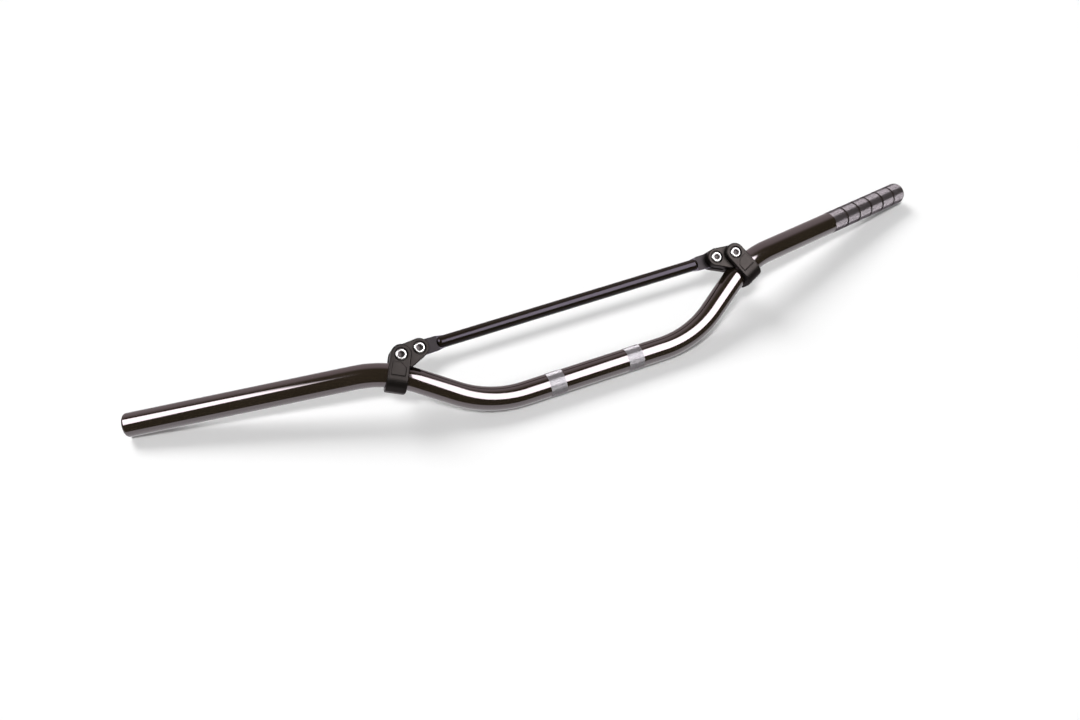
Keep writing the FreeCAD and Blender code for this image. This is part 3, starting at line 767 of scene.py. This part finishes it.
def build_floor():
    """A white floor that keeps the bar's shadow, lifted to white where the camera sees it."""
    bpy.ops.mesh.primitive_plane_add(size=FLOOR_SIZE)
    floor = bpy.context.object
    floor.name = "floor"
    material, nodes, links, out = bare_material("white_floor")
    paper = nodes.new("ShaderNodeBsdfDiffuse")
    set_sockets(paper, Color=(0.9, 0.9, 0.9, 1.0))
    white = nodes.new("ShaderNodeEmission")
    set_sockets(white, Color=(1.0, 1.0, 1.0, 1.0), Strength=1.0)
    seen = any_ray(nodes, links, ("Is Camera Ray", "Is Glossy Ray", "Is Transmission Ray"))
    lift = new_math(nodes, "ShaderNodeMath", "MULTIPLY")
    lift.inputs[1].default_value = FLOOR_LIFT
    blend = nodes.new("ShaderNodeMixShader")
    links.new(seen, lift.inputs[0])
    links.new(lift.outputs[0], blend.inputs["Fac"])
    links.new(paper.outputs[0], blend.inputs[1])
    links.new(white.outputs[0], blend.inputs[2])
    links.new(blend.outputs[0], out.inputs["Surface"])
    floor.data.materials.append(material)
    floor.visible_glossy = False


def build_softbox(name, corners, strength, fade=None):
    """A flat light that only reflections show. A fade gives two heights between which it dims to nothing."""
    mesh = bpy.data.meshes.new(name)
    mesh.from_pydata([Vector(corner) for corner in corners], [], [tuple(range(len(corners)))])
    box = bpy.data.objects.new(name, mesh)
    bpy.context.scene.collection.objects.link(box)
    material, nodes, links, out = bare_material(name)
    glow = nodes.new("ShaderNodeEmission")
    set_sockets(glow, Color=(1.0, 1.0, 1.0, 1.0), Strength=strength)
    links.new(glow.outputs[0], out.inputs["Surface"])
    if fade:
        place = nodes.new("ShaderNodeNewGeometry")
        split = nodes.new("ShaderNodeSeparateXYZ")
        dim = nodes.new("ShaderNodeMapRange")
        dim.interpolation_type = "SMOOTHSTEP"
        set_sockets(dim, From_Min=fade[0], From_Max=fade[1], To_Min=strength, To_Max=0.0)
        links.new(place.outputs["Position"], split.inputs[0])
        links.new(split.outputs["Z"], dim.inputs["Value"])
        links.new(dim.outputs["Result"], glow.inputs["Strength"])
    mesh.materials.append(material)
    box.visible_camera = False
    box.visible_diffuse = False
    box.visible_shadow = False


def build_lamp(name, strength, azimuth, elevation, angle):
    """A sun lamp for the floor and the matt surfaces, unseen in reflections."""
    lamp = bpy.data.lights.new(name, "SUN")
    lamp.energy = strength
    lamp.angle = math.radians(angle)
    holder = bpy.data.objects.new(name, lamp)
    holder.rotation_euler = direction(azimuth, elevation).to_track_quat("Z", "Y").to_euler()
    holder.visible_glossy = False
    bpy.context.scene.collection.objects.link(holder)


def direction(azimuth, elevation):
    """The way to a thing at these angles in degrees: azimuth from -Y, turning to +X, and elevation."""
    turn, rise = math.radians(azimuth), math.radians(elevation)
    return Vector((math.sin(turn) * math.cos(rise), -math.cos(turn) * math.cos(rise), math.sin(rise)))


ROOM_DIM = (0.10, 0.085, 0.055)
BACK_WALL = (0.64, 0.56, 0.57)
GROUND = (1.0, 1.0, 1.0)
WHITE = (1.0, 1.0, 1.0)
MATT_FILL = (0.16, 0.16, 0.16)

# The way to the middle of the back wall, and the cosines from it between which the wall comes up
BACK_WAY = (0.34, 0.94, 0.0)
WALL_EDGE = (0.28, 0.72)

# The slopes below the horizon between which the ground comes up
GROUND_EDGE = (-0.27, -0.40)


def build_surroundings():
    """White for the camera, and a dim room with a pale wall behind and white ground for reflections."""
    world = bpy.data.worlds.new("studio")
    bpy.context.scene.world = world
    world.use_nodes = True
    nodes, links = world.node_tree.nodes, world.node_tree.links
    nodes.clear()

    def smooth(source, edge):
        step = nodes.new("ShaderNodeMapRange")
        step.interpolation_type = "SMOOTHSTEP"
        set_sockets(step, From_Min=edge[0], From_Max=edge[1])
        links.new(source, step.inputs["Value"])
        return step.outputs["Result"]

    def blend(factor, below, above):
        mix = new_blend(nodes)
        links.new(factor, mix.inputs["Factor"])
        for socket, colour in ((mix.inputs["A"], below), (mix.inputs["B"], above)):
            if isinstance(colour, tuple):
                socket.default_value = (*colour, 1.0)
            else:
                links.new(colour, socket)
        return mix.outputs["Result"]

    place = nodes.new("ShaderNodeTexCoord")
    split = nodes.new("ShaderNodeSeparateXYZ")
    links.new(place.outputs["Generated"], split.inputs[0])
    facing = new_math(nodes, "ShaderNodeVectorMath", "DOT_PRODUCT")
    facing.inputs[1].default_value = BACK_WAY
    links.new(place.outputs["Generated"], facing.inputs[0])
    room = blend(smooth(facing.outputs["Value"], WALL_EDGE), ROOM_DIM, BACK_WALL)
    room = blend(smooth(split.outputs["Z"], GROUND_EDGE), room, GROUND)
    unseen = blend(any_ray(nodes, links, ("Is Glossy Ray",)), MATT_FILL, room)
    seen = blend(any_ray(nodes, links, ("Is Camera Ray", "Is Transmission Ray")), unseen, WHITE)
    back = nodes.new("ShaderNodeBackground")
    links.new(seen, back.inputs["Color"])
    out = nodes.new("ShaderNodeOutputWorld")
    links.new(back.outputs[0], out.inputs["Surface"])


CEILING = 1.5
MAIN_GLOW = 8.8
MAIN_BOX = [(-0.06, -0.90), (0.29, -0.15), (0.90, 0.26), (1.55, -0.35), (2.70, -2.25), (0.70, -2.50),
            (0.06, -1.90)]
SIDE_WALL = -1.6
SIDE_GLOW = 9.0
SIDE_BOX = [(-0.52, 0.9), (0.97, 0.9), (0.97, 3.6), (-0.52, 3.6)]
SIDE_FADE = (2.6, 3.6)

build_floor()
build_surroundings()
build_softbox("main_softbox", [(x, y, CEILING) for x, y in MAIN_BOX], MAIN_GLOW)
build_softbox("side_softbox", [(SIDE_WALL, y, z) for y, z in SIDE_BOX], SIDE_GLOW, SIDE_FADE)
build_lamp("key_lamp", strength=1.76, azimuth=-43.0, elevation=62.0, angle=12.0)
build_lamp("soft_lamp", strength=2.26, azimuth=-157.0, elevation=42.0, angle=28.0)


# Camera

CAMERA_AZIMUTH = -22.81
CAMERA_ELEVATION = 49.14
CAMERA_DISTANCE = 0.9513
CAMERA_AIM = Vector((-0.0485, -0.0352, 0.030))
FOCAL_PIXELS = 1025.4
FRAME_WIDTH = 1080
SENSOR_WIDTH = 36.0

camera = bpy.data.objects.new("camera", bpy.data.cameras.new("camera"))
bpy.context.scene.collection.objects.link(camera)
camera.data.sensor_fit = "HORIZONTAL"
camera.data.sensor_width = SENSOR_WIDTH
camera.data.lens = FOCAL_PIXELS / FRAME_WIDTH * SENSOR_WIDTH
back_way = direction(CAMERA_AZIMUTH, CAMERA_ELEVATION)
camera.location = CAMERA_AIM + back_way * CAMERA_DISTANCE
camera.rotation_euler = back_way.to_track_quat("Z", "Y").to_euler()
bpy.context.scene.camera = camera
bpy.context.scene.view_settings.view_transform = "Standard"
